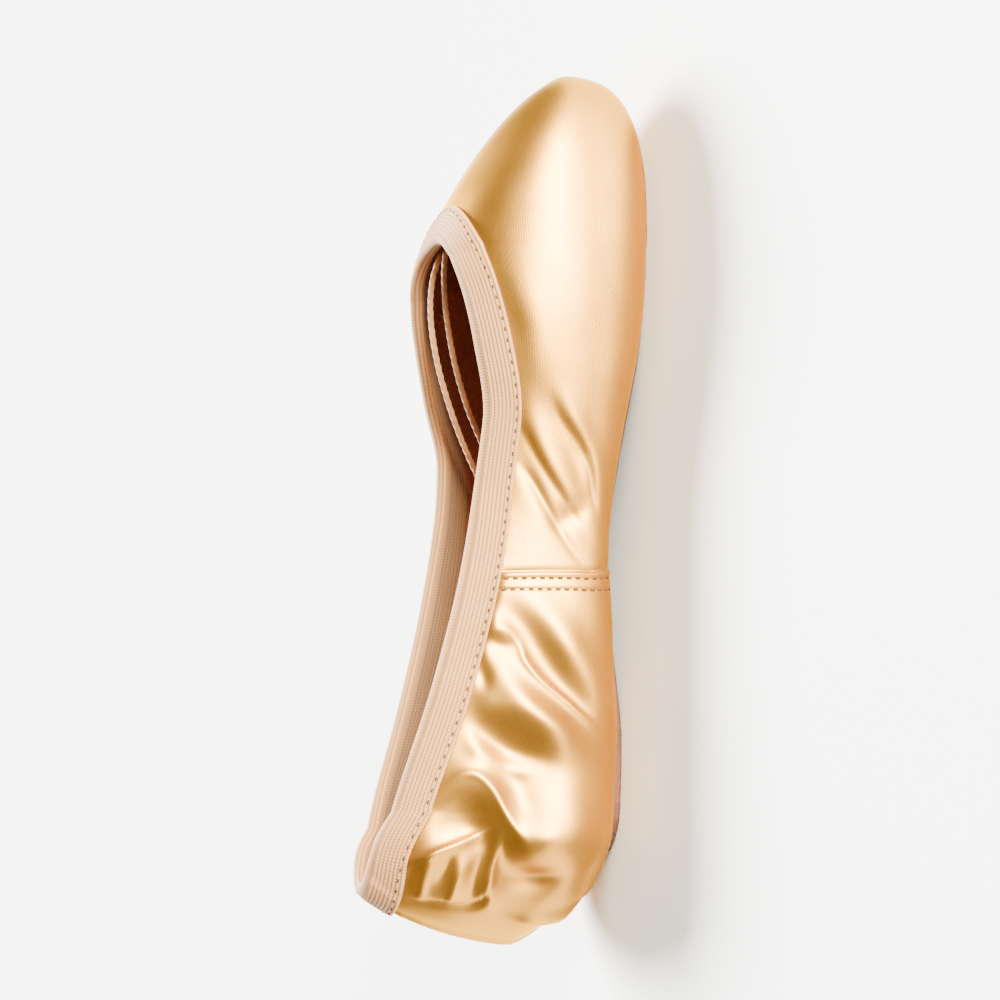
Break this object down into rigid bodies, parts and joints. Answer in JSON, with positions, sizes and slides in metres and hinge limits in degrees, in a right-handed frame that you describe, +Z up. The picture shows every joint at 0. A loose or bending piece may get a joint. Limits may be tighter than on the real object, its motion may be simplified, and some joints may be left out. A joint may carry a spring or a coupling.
{
  "type": "pointe shoe",
  "caption": "Ballet pointe shoe with a stiff satin box, low collar with folded binding, drawstring ends and a narrow leather outsole.",
  "frame": {"origin": "middle of the shoe's length and width, on the floor it stands on", "axes": "+X from heel to toe, +Y to one side, +Z up"},
  "size_m": [0.24, 0.074, 0.0642],
  "materials": {
    "upper": "peach satin, glossy along its folds",
    "outsole": "brown split leather, matt",
    "insole": "brown lining cloth, matt",
    "binding": "ribbed pink-beige tape, matt",
    "drawstring": "pink-beige twisted cord, matt"
  },
  "bodies": {
    "root": {"upper": "upper", "outsole": "outsole", "insole": "insole", "binding": "binding", "drawstring_upper": "drawstring", "drawstring_lower": "drawstring"}
  },
  "joints": []
}
